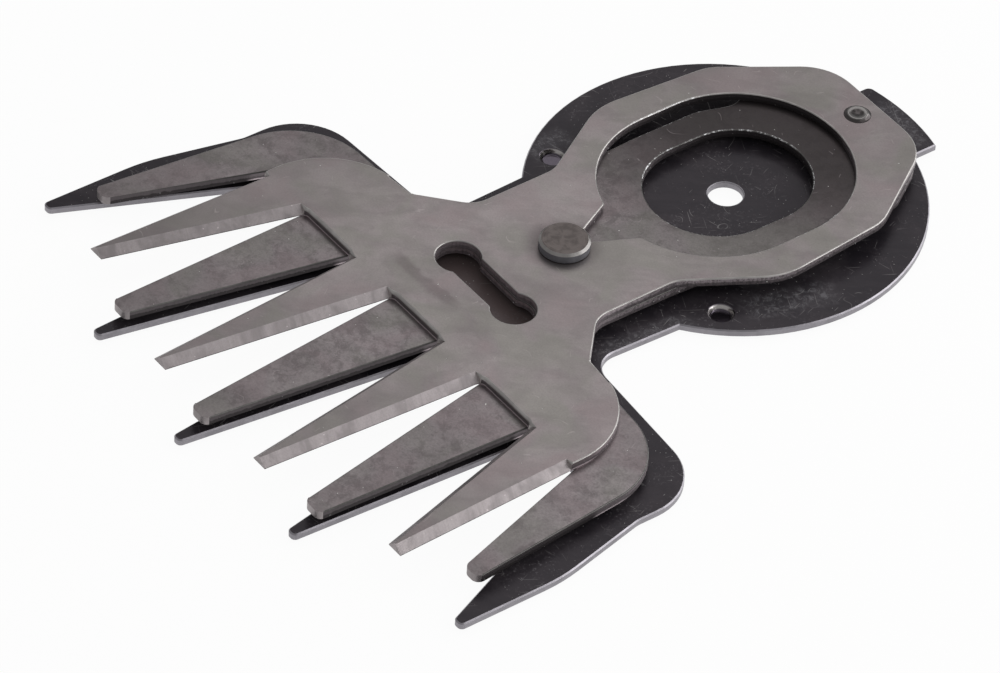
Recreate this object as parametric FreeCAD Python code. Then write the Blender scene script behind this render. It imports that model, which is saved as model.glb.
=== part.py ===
"""Blade set of a cordless grass shear: a guard plate with two toothed blades swinging on one rivet.

Millimetres. The origin is the drive axis on the underside of the guard plate: X runs across the teeth,
the teeth point along -Y, and Z is up through the stack. Widths are across X, and sizes that end in
AHEAD, REAR, FRONT or ROOT are distances from the drive axis towards the tips.
"""
import FreeCAD, Part
import math
import os

Vector = FreeCAD.Vector
UP = Vector(0, 0, 1)

# Sheets and clearances of the stack
GUARD_SHEET = 1.1
SPACER_HEIGHT = 1.2
BLADE_SHEET = 1.4
END_PLAY = 0.05
RUNNING_CLEARANCE = 0.05
SPACER_CLEARANCE = 0.1
EDGE_BREAK = 0.2

# Rivet and spacer
PIVOT_AHEAD = 31.7
SHANK_RADIUS = 2.5
TAIL_RADIUS = 1.8
TAIL_FLARE = 0.5
HEAD_RADIUS = 4.05
HEAD_HEIGHT = 1.7
HEAD_CHAMFER_WIDTH = 0.55
HEAD_CHAMFER_DEPTH = 0.75
SPACER_RADIUS = 7.0

# How far each blade stands off centre, in degrees and in opposite senses
BLADE_TURN = 0.5

# Stations across the teeth: even ones are guard fingers and lower teeth, odd ones are upper teeth
TIP_PITCH = 13.0
ROOT_PITCH = 11.45
TIP_ARC_CENTRE = 18.7
TIP_ARC_RADIUS = 118.0
ROOT_CORNER = 1.2

# Guard plate
DISC_RADIUS = 32.0
DRIVE_HOLE_RADIUS = 2.8
TAB_WIDTH = 17.0
TAB_REACH = 4.5
TAB_CORNER = 1.2
GUARD_NECK_REAR_WIDTH = 42.8
GUARD_NECK_FRONT_WIDTH = 39.8
GUARD_NECK_CORNER = 4.2
GUARD_SHOULDER_REAR = 40.9
GUARD_SHOULDER_FALL = 2.0
GUARD_SHOULDER_WIDTH = 103.4
GUARD_SHOULDER_CORNER = 10.0
GUARD_SHOULDER_FRONT = 56.0
GUARD_HIP_CORNER = 5.0
GUARD_WIDTH = 110.8
GUARD_BEND_AHEAD = 72.5
GUARD_BEND_RADIUS = 30.0
GUARD_LEAD = 4.2
GUARD_OUTER_LEAD = 4.9
GUARD_ROOT = 57.5
GUARD_TIP_WIDTH = 1.7
GUARD_TIP_CORNER = 0.8

# Two cups pressed down into the guard plate
CUP_RADIUS = 1.75
CUP_LIP = 0.4
CUP_DEPTH = 0.9
CUP_BOSS = 0.7
CUP_SPREAD = 43.6
CUP_AHEAD = 17.6

# Pip pressed up behind the upper blade's opening
PIP_RADIUS = 2.2
PIP_HEIGHT = 0.45
PIP_SLOPE = 0.3
PIP_RIM = 0.8
PIP_DIMPLE = 0.35
PIP_BEHIND = 26.3

# Both blades: waist, lobes and the slot ahead of the pivot
NECK_WIDTH = 31.2
NECK_REAR = 22.0
NECK_FRONT = 37.2
NECK_CORNER = 5.0
LOBE_REAR = 44.1
LOBE_START_WIDTH = 46.0
LOBE_START_CORNER = 2.0
SLOT_AHEAD = 46.7
SLOT_SPREAD = 14.2
SLOT_END_RADIUS = 3.6
SLOT_NECK = 5.4

# Lower blade
LOWER_ROOT = 57.5
LOWER_ROOT_WIDTH = 12.3
LOWER_TIP_WIDTH = 3.6
LOWER_TIP_CORNER = 1.2
LOWER_OUTER_TIP_SPREAD = 99.5
LOWER_OUTER_TIP_WIDTH = 3.1
LOWER_OUTER_TIP_CORNER = 1.3
LOWER_OUTER_SETBACK = 3.8
LOWER_LOBE_WIDTH = 94.7
LOWER_LOBE_CORNER = 13.0
LOWER_LOBE_FALL = 1.4
LOWER_OPENING_RADIUS = 11.2
LOWER_OPENING_TRAVEL = 2.75
LOWER_SIDE_BAND = 5.2
LOWER_SIDE_LENGTH = 12.0
LOWER_SIDE_CORNER = 6.0
LOWER_WAIST_BAND = 3.3
LOWER_WAIST_BEHIND = 12.3
LOWER_WAIST_CORNER = 4.0
LOWER_HEAD_BAND = 6.8
LOWER_HEAD_BEHIND = 19.3
LOWER_HEAD_CORNER = 2.5
LOWER_REAR_WIDTH = 22.8
LOWER_REAR_BAND = 15.4
LOWER_REAR_CORNER = 8.0

# Upper blade
UPPER_ROOT = 59.8
UPPER_SETBACK = 0.6
UPPER_ROOT_WIDTH = 10.5
UPPER_TIP_WIDTH = 2.9
BEVEL_WIDTH = 1.3
BEVEL_LAND = 0.12
BEVEL_RUNOUT = 0.3
UPPER_LOBE_CORNER = 14.0
UPPER_OPENING_RADIUS = 17.7
UPPER_OPENING_TRAVEL = 3.3
UPPER_FLARE_BAND = 6.3
UPPER_FLARE_AHEAD = 7.3
UPPER_FLARE_CORNER = 12.0
UPPER_SHOULDER_BAND = 4.6
UPPER_SHOULDER_BEHIND = 13.6
UPPER_SHOULDER_CORNER = 8.0
UPPER_REAR_WIDTH = 23.4
UPPER_REAR_BAND = 9.3
UPPER_REAR_CORNER = 9.0
LOBE_NICK_WIDTH = 56.6
LOBE_NICK_FALL = 0.5
NOTCH_THROAT = 1.0
NOTCH_MOUTH = 8.8
NOTCH_CORNER = 1.0

# Levels of the stack and what follows from the values above
LOWER_LEVEL = GUARD_SHEET + SPACER_HEIGHT
UPPER_LEVEL = LOWER_LEVEL + BLADE_SHEET
HEAD_LEVEL = UPPER_LEVEL + BLADE_SHEET + END_PLAY
PIVOT = Vector(0, -PIVOT_AHEAD, 0)
BORE_RADIUS = SHANK_RADIUS + RUNNING_CLEARANCE
OVERCUT = 1.0
SIDE_SHARE = 0.98


def rounded_wire(corners, level):
    """A closed wire through corners (x, y, radius); two arcs too long for their side share it."""
    points = [Vector(x, y, level) for x, y, radius in corners]
    count = len(corners)
    sides = [points[(index + 1) % count] - points[index] for index in range(count)]
    half_angles = [sides[index].getAngle(-sides[index - 1]) / 2 for index in range(count)]
    reaches = [corner[2] / math.tan(half) for corner, half in zip(corners, half_angles)]
    shares = []
    for index, side in enumerate(sides):
        wanted = reaches[index] + reaches[(index + 1) % count]
        shares.append(SIDE_SHARE * side.Length / max(wanted, SIDE_SHARE * side.Length))
    turns = []
    for index, (corner, half) in enumerate(zip(points, half_angles)):
        reach = reaches[index] * min(shares[index - 1], shares[index])
        radius = reach * math.tan(half)
        back = (-sides[index - 1]).normalize()
        ahead = Vector(sides[index]).normalize()
        inward = (back + ahead).normalize()
        middle = corner + inward * (radius / math.sin(half) - radius)
        turns.append((corner + back * reach, middle, corner + ahead * reach, radius))
    edges = []
    for index, (start, middle, end, radius) in enumerate(turns):
        if radius > 0:
            edges.append(Part.Arc(start, middle, end).toShape())
        edges.append(Part.LineSegment(end, turns[(index + 1) % count][0]).toShape())
    return Part.Wire(edges)


def symmetric_plate(right_side, level, sheet):
    """A plate whose outline is given for its right side, from the rear to the front."""
    left_side = [(-x, y, radius) for x, y, radius in reversed(right_side)]
    return Part.Face(rounded_wire(right_side + left_side, level)).extrude(UP * sheet)


def upright(radius, x, y, level, height):
    """An upright cylinder."""
    return Part.makeCylinder(radius, height, Vector(x, y, level), UP)


def turned(profile, x, y):
    """A solid of revolution about the upright line at x, y, from (radius, level) points."""
    points = [Vector(x + radius, y, level) for radius, level in profile]
    face = Part.Face(Part.makePolygon(points + points[:1]))
    return face.revolve(Vector(x, y, 0), UP, 360)


def tip_line(x, lead=0.0):
    """The y of a tip at x: the tips of all three plates follow arcs about one centre."""
    return TIP_ARC_CENTRE - math.sqrt((TIP_ARC_RADIUS + lead) ** 2 - x ** 2)


def tooth(station, lead, tip_width, tip_corner, root_width, root):
    """Corners of one tooth, from its outer root over the tip to its inner root."""
    tip_x = station * TIP_PITCH
    root_x = station * ROOT_PITCH
    tip_y = tip_line(tip_x, lead)
    return [
        (root_x + root_width / 2, -root, ROOT_CORNER),
        (tip_x + tip_width / 2, tip_y, tip_corner),
        (tip_x - tip_width / 2, tip_y, tip_corner),
        (root_x - root_width / 2, -root, ROOT_CORNER),
    ]


def waist():
    """Corners shared by both blades, from the ring forward to the lobes."""
    return [
        (NECK_WIDTH / 2, -NECK_REAR, NECK_CORNER),
        (NECK_WIDTH / 2, -NECK_FRONT, NECK_CORNER),
        (LOBE_START_WIDTH / 2, -LOBE_REAR, LOBE_START_CORNER),
    ]


def obround(radius, travel, level, height):
    """Cutter for a drive opening that is longer along the blade by its travel each way."""
    middle = symmetric_plate([(radius, travel, 0), (radius, -travel, 0)], level, height)
    ends = [upright(radius, 0, side * travel, level, height) for side in (1, -1)]
    return middle.multiFuse(ends).removeSplitter()


def dumbbell_slot(level, height):
    """Cutter for the slot across a blade, with round ends and a narrower middle."""
    end_x = SLOT_SPREAD / 2
    right_side = [(end_x, -SLOT_AHEAD + SLOT_NECK / 2, 0), (end_x, -SLOT_AHEAD - SLOT_NECK / 2, 0)]
    middle = symmetric_plate(right_side, level, height)
    ends = [upright(SLOT_END_RADIUS, side * end_x, -SLOT_AHEAD, level, height) for side in (1, -1)]
    return middle.multiFuse(ends).removeSplitter()


def blade_cutters(opening_radius, opening_travel, level):
    """What is punched through a blade: drive opening, pivot bore and slot."""
    bottom = level - OVERCUT
    height = BLADE_SHEET + 2 * OVERCUT
    return [
        obround(opening_radius, opening_travel, bottom, height),
        upright(BORE_RADIUS, PIVOT.x, PIVOT.y, bottom, height),
        dumbbell_slot(bottom, height),
    ]


def break_top_edges(plate, top):
    """Take the sharp corner off the top edges of a plate."""
    edges = [edge for edge in plate.Edges if edge.BoundBox.ZMin > top - EDGE_BREAK]
    return plate.makeChamfer(EDGE_BREAK, edges)


def press_cup(plate, x, y):
    """Press a cup down into the guard plate, which leaves a boss below."""
    floor = GUARD_SHEET - CUP_DEPTH
    profile = [
        (0, floor),
        (CUP_RADIUS, floor),
        (CUP_RADIUS, GUARD_SHEET - CUP_LIP),
        (CUP_RADIUS + CUP_LIP, GUARD_SHEET),
        (0, GUARD_SHEET),
    ]
    boss = upright(CUP_RADIUS, x, y, -CUP_BOSS, CUP_BOSS)
    return plate.fuse(boss).cut(turned(profile, x, y)).removeSplitter()


def press_pip(plate, x, y):
    """Press a pip up out of the upper blade: a round rim about a dimple, with a hollow below."""
    top = UPPER_LEVEL + BLADE_SHEET
    profile = [
        (0, top - BLADE_SHEET / 2),
        (PIP_RADIUS, top - BLADE_SHEET / 2),
        (PIP_RADIUS, top),
        (PIP_RADIUS - PIP_SLOPE, top + PIP_HEIGHT),
        (PIP_RADIUS - PIP_RIM, top + PIP_HEIGHT),
        (0, top + PIP_HEIGHT - PIP_DIMPLE),
    ]
    hollow = upright(PIP_RADIUS - PIP_RIM, x, y, UPPER_LEVEL, PIP_HEIGHT)
    return plate.fuse(turned(profile, x, y)).cut(hollow).removeSplitter()


def rivet_tail():
    """Profile of the riveted tail, which fills its seat in the guard plate."""
    return [
        (0, 0),
        (TAIL_RADIUS + TAIL_FLARE, 0),
        (TAIL_RADIUS, TAIL_FLARE),
        (TAIL_RADIUS, GUARD_SHEET),
    ]


def guard_tab():
    """The tab behind the disc, with one corner rounded."""
    reach = DISC_RADIUS + TAB_REACH
    strip = Part.makeBox(TAB_WIDTH, reach, GUARD_SHEET, Vector(-TAB_WIDTH / 2, 0, 0))
    tab = strip.common(upright(reach, 0, 0, 0, GUARD_SHEET))
    uprights = [edge for edge in tab.Edges if edge.BoundBox.ZLength > GUARD_SHEET / 2]
    rear_left = min(uprights, key=lambda edge: edge.BoundBox.XMin - edge.BoundBox.YMin)
    return tab.makeFillet(TAB_CORNER, [rear_left])


def guard_plate():
    """Black guard: a round drive disc, a waist, shoulders and five fingers longer than the teeth."""
    finger = (GUARD_LEAD, GUARD_TIP_WIDTH, GUARD_TIP_CORNER, LOWER_ROOT_WIDTH, GUARD_ROOT)
    outer_x = GUARD_WIDTH / 2
    outer_tip = tip_line(outer_x, GUARD_OUTER_LEAD)
    right_side = [
        (GUARD_NECK_REAR_WIDTH / 2, 0, 0),
        (GUARD_NECK_FRONT_WIDTH / 2, -GUARD_SHOULDER_REAR, GUARD_NECK_CORNER),
        (GUARD_SHOULDER_WIDTH / 2, -GUARD_SHOULDER_REAR - GUARD_SHOULDER_FALL, GUARD_SHOULDER_CORNER),
        (GUARD_SHOULDER_WIDTH / 2, -GUARD_SHOULDER_FRONT, GUARD_HIP_CORNER),
        (outer_x, -GUARD_BEND_AHEAD, GUARD_BEND_RADIUS),
        (outer_x, outer_tip, GUARD_TIP_CORNER),
        (outer_x - GUARD_TIP_WIDTH, outer_tip, GUARD_TIP_CORNER),
        tooth(4, *finger)[-1],
    ]
    right_side += tooth(2, *finger) + tooth(0, *finger)[:2]
    fingers = symmetric_plate(right_side, 0, GUARD_SHEET)
    disc = upright(DISC_RADIUS, 0, 0, 0, GUARD_SHEET)
    plate = break_top_edges(fingers.multiFuse([disc, guard_tab()]).removeSplitter(), GUARD_SHEET)
    drive_hole = upright(DRIVE_HOLE_RADIUS, 0, 0, -OVERCUT, GUARD_SHEET + 2 * OVERCUT)
    seat = turned(rivet_tail() + [(0, GUARD_SHEET)], PIVOT.x, PIVOT.y)
    plate = plate.cut([drive_hole, seat])
    for side in (1, -1):
        plate = press_cup(plate, side * CUP_SPREAD / 2, -CUP_AHEAD)
    return plate


def spacer_washer():
    """Washer that carries the blades clear of the guard plate."""
    ring = upright(SPACER_RADIUS, PIVOT.x, PIVOT.y, GUARD_SHEET, SPACER_HEIGHT)
    return ring.cut(upright(SHANK_RADIUS + SPACER_CLEARANCE, PIVOT.x, PIVOT.y, GUARD_SHEET, SPACER_HEIGHT))


def lower_blade():
    """Five square-edged teeth, round lobes and a ring with the smaller drive opening."""
    teeth = (0, LOWER_TIP_WIDTH, LOWER_TIP_CORNER, LOWER_ROOT_WIDTH, LOWER_ROOT)
    rear = LOWER_OPENING_TRAVEL + LOWER_OPENING_RADIUS + LOWER_REAR_BAND
    outer_tip_x = LOWER_OUTER_TIP_SPREAD / 2
    outer_tip_y = tip_line(outer_tip_x) + LOWER_OUTER_SETBACK
    ring_side = LOWER_OPENING_RADIUS + LOWER_SIDE_BAND
    right_side = [
        (LOWER_REAR_WIDTH / 2, rear, LOWER_REAR_CORNER),
        (LOWER_OPENING_RADIUS + LOWER_HEAD_BAND, LOWER_HEAD_BEHIND, LOWER_HEAD_CORNER),
        (LOWER_OPENING_RADIUS + LOWER_WAIST_BAND, LOWER_WAIST_BEHIND, LOWER_WAIST_CORNER),
        (ring_side, LOWER_SIDE_LENGTH / 2, LOWER_SIDE_CORNER),
        (ring_side, -LOWER_SIDE_LENGTH / 2, LOWER_SIDE_CORNER),
    ]
    right_side += waist()
    right_side += [
        (LOWER_LOBE_WIDTH / 2, -LOBE_REAR - LOWER_LOBE_FALL, LOWER_LOBE_CORNER),
        (outer_tip_x + LOWER_OUTER_TIP_WIDTH / 2, outer_tip_y, LOWER_OUTER_TIP_CORNER),
        (outer_tip_x - LOWER_OUTER_TIP_WIDTH / 2, outer_tip_y, LOWER_OUTER_TIP_CORNER),
        tooth(4, *teeth)[-1],
    ]
    right_side += tooth(2, *teeth) + tooth(0, *teeth)[:2]
    plate = symmetric_plate(right_side, LOWER_LEVEL, BLADE_SHEET)
    plate = plate.cut(blade_cutters(LOWER_OPENING_RADIUS, LOWER_OPENING_TRAVEL, LOWER_LEVEL))
    return plate.rotated(PIVOT, UP, -BLADE_TURN)


def bevel_cutter(tip, root, side):
    """Wedge that grinds one side of an upper tooth; side is 1 on its right flank and -1 on its left."""
    start = Vector(tip[0], tip[1], UPPER_LEVEL + BEVEL_LAND)
    run = Vector(root[0] - tip[0], root[1] - tip[1], 0)
    ground_length = run.Length - BEVEL_RUNOUT
    along = run.normalize()
    inward = Vector(-along.y, along.x, 0) * side
    steepness = OVERCUT / (BLADE_SHEET - BEVEL_LAND)
    ridge = inward * BEVEL_WIDTH * (1 + steepness) + UP * (BLADE_SHEET - BEVEL_LAND + OVERCUT)
    heel = start - along * OVERCUT
    outside = heel - inward * OVERCUT
    section = [heel, heel + ridge, outside + UP * ridge.z, outside]
    face = Part.Face(Part.makePolygon(section + section[:1]))
    return face.extrude(along * (ground_length + OVERCUT))


def lobe_nick():
    """Cutter that leaves a small step where each lobe of the upper blade begins."""
    start = LOBE_START_WIDTH / 2
    end = LOBE_NICK_WIDTH / 2
    corners = [
        (start, -LOBE_REAR, 0),
        (end, -LOBE_REAR - LOBE_NICK_FALL, 0),
        (end, -NECK_FRONT, 0),
        (start, -NECK_FRONT, 0),
    ]
    right = Part.Face(rounded_wire(corners, UPPER_LEVEL - OVERCUT)).extrude(UP * (BLADE_SHEET + 2 * OVERCUT))
    return [right, right.mirror(Vector(), Vector(1, 0, 0))]


def pivot_notch():
    """Cutter for the notch that opens the pivot bore into the drive opening."""
    throat = BORE_RADIUS - PIVOT_AHEAD
    mouth = -UPPER_OPENING_TRAVEL - UPPER_OPENING_RADIUS
    flare = (NOTCH_MOUTH - NOTCH_THROAT) / (mouth - throat)
    inside = mouth + NOTCH_MOUTH / 2
    right_side = [
        (NOTCH_MOUTH / 2 + flare * (inside - mouth) / 2, inside, 0),
        (NOTCH_THROAT / 2, throat, 0),
        (NOTCH_THROAT / 2, -PIVOT_AHEAD, 0),
    ]
    return symmetric_plate(right_side, UPPER_LEVEL - OVERCUT, BLADE_SHEET + 2 * OVERCUT)


def round_notch(plate):
    """Round the corners where the notch meets the drive opening."""
    mouth = -UPPER_OPENING_TRAVEL - UPPER_OPENING_RADIUS
    uprights = [edge for edge in plate.Edges if edge.BoundBox.ZLength > BLADE_SHEET / 2]
    corners = [
        edge for edge in uprights
        if abs(edge.BoundBox.YMin - mouth) < NOTCH_CORNER
        and abs(abs(edge.BoundBox.XMin) - NOTCH_MOUTH / 2) < NOTCH_CORNER
    ]
    return plate.makeFillet(NOTCH_CORNER, corners)


def upper_blade():
    """Four teeth ground to a bevel on both sides, and a ring with the larger, notched opening."""
    teeth = (-UPPER_SETBACK, UPPER_TIP_WIDTH, 0, UPPER_ROOT_WIDTH, UPPER_ROOT)
    rear = UPPER_OPENING_TRAVEL + UPPER_OPENING_RADIUS + UPPER_REAR_BAND
    right_side = [
        (UPPER_REAR_WIDTH / 2, rear, UPPER_REAR_CORNER),
        (UPPER_OPENING_RADIUS + UPPER_SHOULDER_BAND, UPPER_SHOULDER_BEHIND, UPPER_SHOULDER_CORNER),
        (UPPER_OPENING_RADIUS + UPPER_FLARE_BAND, -UPPER_FLARE_AHEAD, UPPER_FLARE_CORNER),
    ]
    right_side += waist()
    right_side.append((tooth(3, *teeth)[0][0], -LOBE_REAR, UPPER_LOBE_CORNER))
    right_side += tooth(3, *teeth) + tooth(1, *teeth)
    plate = symmetric_plate(right_side, UPPER_LEVEL, BLADE_SHEET)
    cutters = blade_cutters(UPPER_OPENING_RADIUS, UPPER_OPENING_TRAVEL, UPPER_LEVEL)
    cutters += lobe_nick() + [pivot_notch()]
    for station in (-3, -1, 1, 3):
        right_root, right_tip, left_tip, left_root = tooth(station, *teeth)
        cutters.append(bevel_cutter(right_tip, right_root, 1))
        cutters.append(bevel_cutter(left_tip, left_root, -1))
    plate = press_pip(round_notch(plate.cut(cutters)), 0, PIP_BEHIND)
    return plate.rotated(PIVOT, UP, BLADE_TURN)


def pivot_rivet():
    """Shouldered rivet: a tail in the guard plate, a shank for the blades and a chamfered head."""
    head_top = HEAD_LEVEL + HEAD_HEIGHT
    profile = rivet_tail() + [
        (SHANK_RADIUS, GUARD_SHEET),
        (SHANK_RADIUS, HEAD_LEVEL),
        (HEAD_RADIUS, HEAD_LEVEL),
        (HEAD_RADIUS, head_top - HEAD_CHAMFER_DEPTH),
        (HEAD_RADIUS - HEAD_CHAMFER_WIDTH, head_top),
        (0, head_top),
    ]
    return turned(profile, PIVOT.x, PIVOT.y)


PIECES = {
    "guard_plate": guard_plate,
    "spacer_washer": spacer_washer,
    "lower_blade": lower_blade,
    "upper_blade": upper_blade,
    "pivot_rivet": pivot_rivet,
}
os.makedirs("parts", exist_ok=True)
for name, make in PIECES.items():
    make().exportStep("parts/" + name + ".step")
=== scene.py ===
"""Dresses a grass shear's blade set: rolled edges, pressed cups, a turned rivet and steel finishes."""
import math

import bmesh
import bpy
from bpy.props import FloatProperty, FloatVectorProperty, PointerProperty
from mathutils import Matrix, Vector


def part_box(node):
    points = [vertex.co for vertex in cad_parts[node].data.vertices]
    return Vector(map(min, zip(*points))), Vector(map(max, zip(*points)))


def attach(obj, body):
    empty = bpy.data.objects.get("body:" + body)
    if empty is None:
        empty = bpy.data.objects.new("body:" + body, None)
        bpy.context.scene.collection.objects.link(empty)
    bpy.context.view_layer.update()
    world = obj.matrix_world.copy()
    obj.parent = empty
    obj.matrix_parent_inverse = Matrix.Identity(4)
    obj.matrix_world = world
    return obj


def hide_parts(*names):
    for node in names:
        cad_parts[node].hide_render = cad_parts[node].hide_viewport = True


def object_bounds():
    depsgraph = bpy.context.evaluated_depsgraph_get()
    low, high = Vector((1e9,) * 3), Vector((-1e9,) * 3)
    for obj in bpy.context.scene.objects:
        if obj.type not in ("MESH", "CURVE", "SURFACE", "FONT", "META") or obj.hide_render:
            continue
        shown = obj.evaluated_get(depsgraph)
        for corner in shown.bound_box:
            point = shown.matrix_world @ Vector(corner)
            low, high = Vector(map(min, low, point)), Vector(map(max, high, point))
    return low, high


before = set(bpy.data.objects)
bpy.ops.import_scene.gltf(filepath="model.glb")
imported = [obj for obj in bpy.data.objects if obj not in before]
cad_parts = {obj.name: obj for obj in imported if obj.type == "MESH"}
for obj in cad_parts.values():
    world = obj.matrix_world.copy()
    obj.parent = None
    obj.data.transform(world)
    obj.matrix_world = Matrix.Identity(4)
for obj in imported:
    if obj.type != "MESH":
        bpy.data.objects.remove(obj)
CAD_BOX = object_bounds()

bl_info = {
    "name": "Grass shear blade set",
    "version": (1, 0, 0),
    "blender": (4, 5, 0),
    "location": "View3D > Sidebar > Blade Set",
    "description": "Dresses the guard plate, the two blades and the rivet of a grass shear",
    "category": "Object",
}

MM = 0.001

# How a copied sheet is read: doubled points, flat and smooth joins, level faces, walls, roots and tips
MERGE_DISTANCE = 0.002 * MM
FLAT_ANGLE = math.radians(0.5)
SMOOTH_ANGLE = math.radians(38)
LEVEL_SLACK = 0.02 * MM
TOOTH_REACH = 20.0 * MM
ROOT_REACH = 25.0 * MM
LEVEL_NORMAL = 0.99
WALL_NORMAL = 0.3
ROOT_FACING = 0.7
TIP_FACING = 0.3
RUN_OUT_FACING = 0.9

# How finely the rolled rims, the pressed forms and the rivet are divided
ROLL_STEPS = 3
PRESS_STEPS = 20
PRESS_SPIN = 48
RIVET_SPIN = 96

# Form of the rivet: its tail's share of the shank's radius, and its lower chamfer's share of the upper one
TAIL_SHARE = 0.8
LOWER_CHAMFER_SHARE = 0.25

# The order of a sheet's finishes
FACE, WALL, GROUND, RIM, PRESSED, RUN_OUT = range(6)
SMOOTH_FINISHES = (WALL, RIM, PRESSED)

# Directions that the finishes follow: the drive's axis, and the ways of wiping and of grinding
DRIVE_AXIS = (0.0, 0.0, 0.0)
WIPE_TURN = math.radians(50)
GRIND_TURN = math.radians(-8)

# Where the painted shade and the halo on the blades' faces change, each from the place where it begins to
# the place where it is complete
REAR_PAINTED_SHADE = (-30 * MM, 14 * MM)
TOOTH_SHADE = (-58 * MM, -96 * MM)
FAR_SHADE = (-12 * MM, -55 * MM)
PIVOT_HALO = (7.0 * MM, 4.0 * MM)

# How far the front of the painted shade at the rear leans across the blade, and how far the halo's edge
# wanders
REAR_SHADE_SLANT = 0.6
HALO_WANDER = 3.0 * MM

# Where the blades' edges change, in the same way; the lightening of the walls is partly rubbing and partly
# painted light
RUB_AND_LIGHT_FRONT = (-64 * MM, -50 * MM)
RUB_AND_LIGHT_REAR = (4 * MM, -12 * MM)
FLANK_REACH = (19 * MM, 21 * MM)
FLANK_NEAR = (0.0, 6 * MM)
FLANK_FRONT = (-20 * MM, -12 * MM)
RING_FRONT = (-38 * MM, -30 * MM)
ROOT_FRONT = (-62.5 * MM, -61 * MM)
ROOT_REAR = (-54 * MM, -57 * MM)
BURR_AND_GLINT_REACH = (21 * MM, 18.5 * MM)

# How far the painted highlight band of a pressed form goes below a cup's rim, and below and above a pip's
# crest
CUP_HIGHLIGHT_BELOW = 0.75 * MM
PIP_HIGHLIGHT_BELOW = 0.14 * MM
PIP_HIGHLIGHT_ABOVE = 0.2 * MM

# Straight scratches in the black oxide: turn in degrees and length in millimetres
STRAIGHT_SCRATCHES = ((-70, 2.5), (-25, 6.0), (15, 3.5), (60, 5.0))

# Tints of dust and marks on the blades and the rivet, and of glints that are partly painted
PALE_DUST = (0.60, 0.59, 0.57)
RIVET_DUST = (0.70, 0.69, 0.67)
BARE_GLINT = (0.85, 0.84, 0.84)
BURR_AND_GLINT_WHITE = (0.95, 0.95, 0.97)

# Tints of dust, marks and painted sheen on the black oxide
OXIDE_RUB = (0.072, 0.062, 0.068)
OXIDE_DUST = (0.105, 0.080, 0.078)
OXIDE_SCUFF = (0.16, 0.15, 0.16)
OXIDE_SMEAR_AND_SHEEN = (0.170, 0.165, 0.175)
OXIDE_SCRATCH = (0.24, 0.23, 0.23)
OXIDE_SPECK = (0.45, 0.44, 0.43)
OXIDE_SHEEN = (1.0, 0.90, 1.0)

# Each lamp's name, place from the point that the camera looks at, width, height and power
LAMPS = (
    ("key", Vector((0.25, 0.62, 0.22)), 0.9, 0.5, 3.4),
    ("top", Vector((-0.21, 0.25, 0.42)), 0.36, 0.36, 0.46),
    ("fill", Vector((0.46, 0.33, 0.42)), 0.65, 0.65, 0.8),
)

# Even light from all round, and the floor
WORLD_STRENGTH = 0.48
WHITE = (1.0, 1.0, 1.0, 1.0)
FLOOR_GREY = (0.8, 0.8, 0.8)
FLOOR_ROUGHNESS = 0.9
FLOOR_GLOW = 0.95

# The camera's sensor in millimetres, and the nearest distance that it sees in metres
SENSOR_WIDTH = 36.0
CLIP_START = 0.01


class BladeSetSizes(bpy.types.PropertyGroup):
    """Sizes of what the finish adds to the solids."""
    edge_roll: FloatProperty(
        name="Edge roll", description="Radius that punching leaves on the upper rim of a sheet",
        default=0.20 * MM, min=0.0, unit="LENGTH", precision=5)
    root_roll: FloatProperty(
        name="Root roll", description="Radius that punching leaves at the root of the gaps between teeth",
        default=0.45 * MM, min=0.0, unit="LENGTH", precision=5)
    press_lip: FloatProperty(
        name="Press lip", description="Width of the soft slope round a pressed cup or pip",
        default=0.7 * MM, min=0.0, unit="LENGTH", precision=5)
    head_height: FloatProperty(
        name="Head height", description="Height of the rivet's head",
        default=1.7 * MM, min=0.0, unit="LENGTH", precision=5)
    head_chamfer: FloatProperty(
        name="Head chamfer", description="Width of the chamfer round the rivet's head",
        default=0.40 * MM, min=0.0, unit="LENGTH", precision=5)
    shank_radius: FloatProperty(
        name="Shank radius", description="Radius of the rivet's shank",
        default=2.5 * MM, min=0.0, unit="LENGTH", precision=5)


class BladeSetColours(bpy.types.PropertyGroup):
    """Base colours of the finishes."""
    upper_steel: FloatVectorProperty(
        name="Upper blade", description="Tempered grey of the upper blade", subtype="COLOR",
        default=(0.218, 0.194, 0.194), min=0.0, max=1.0)
    lower_steel: FloatVectorProperty(
        name="Lower blade", description="Darker tempered grey of the lower blade", subtype="COLOR",
        default=(0.182, 0.161, 0.164), min=0.0, max=1.0)
    temper_stain: FloatVectorProperty(
        name="Temper stain", description="Brown-violet stain left by tempering", subtype="COLOR",
        default=(0.075, 0.061, 0.063), min=0.0, max=1.0)
    ground_steel: FloatVectorProperty(
        name="Ground bevel", description="Bare steel of the ground bevels", subtype="COLOR",
        default=(0.362, 0.328, 0.332), min=0.0, max=1.0)
    sheared_edge: FloatVectorProperty(
        name="Sheared edge", description="Bare steel of the punched edges", subtype="COLOR",
        default=(0.085, 0.074, 0.078), min=0.0, max=1.0)
    worn_rim: FloatVectorProperty(
        name="Worn rim", description="Steel of the rolled rims, rubbed bare", subtype="COLOR",
        default=(0.430, 0.410, 0.400), min=0.0, max=1.0)
    black_oxide: FloatVectorProperty(
        name="Black oxide", description="Black coat of the guard plate", subtype="COLOR",
        default=(0.014, 0.012, 0.015), min=0.0, max=1.0)
    guard_edge: FloatVectorProperty(
        name="Guard edge", description="Thinly coated cut edge of the guard plate", subtype="COLOR",
        default=(0.300, 0.285, 0.310), min=0.0, max=1.0)
    rivet_steel: FloatVectorProperty(
        name="Rivet", description="Tumbled steel of the rivet", subtype="COLOR",
        default=(0.100, 0.085, 0.081), min=0.0, max=1.0)


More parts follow.
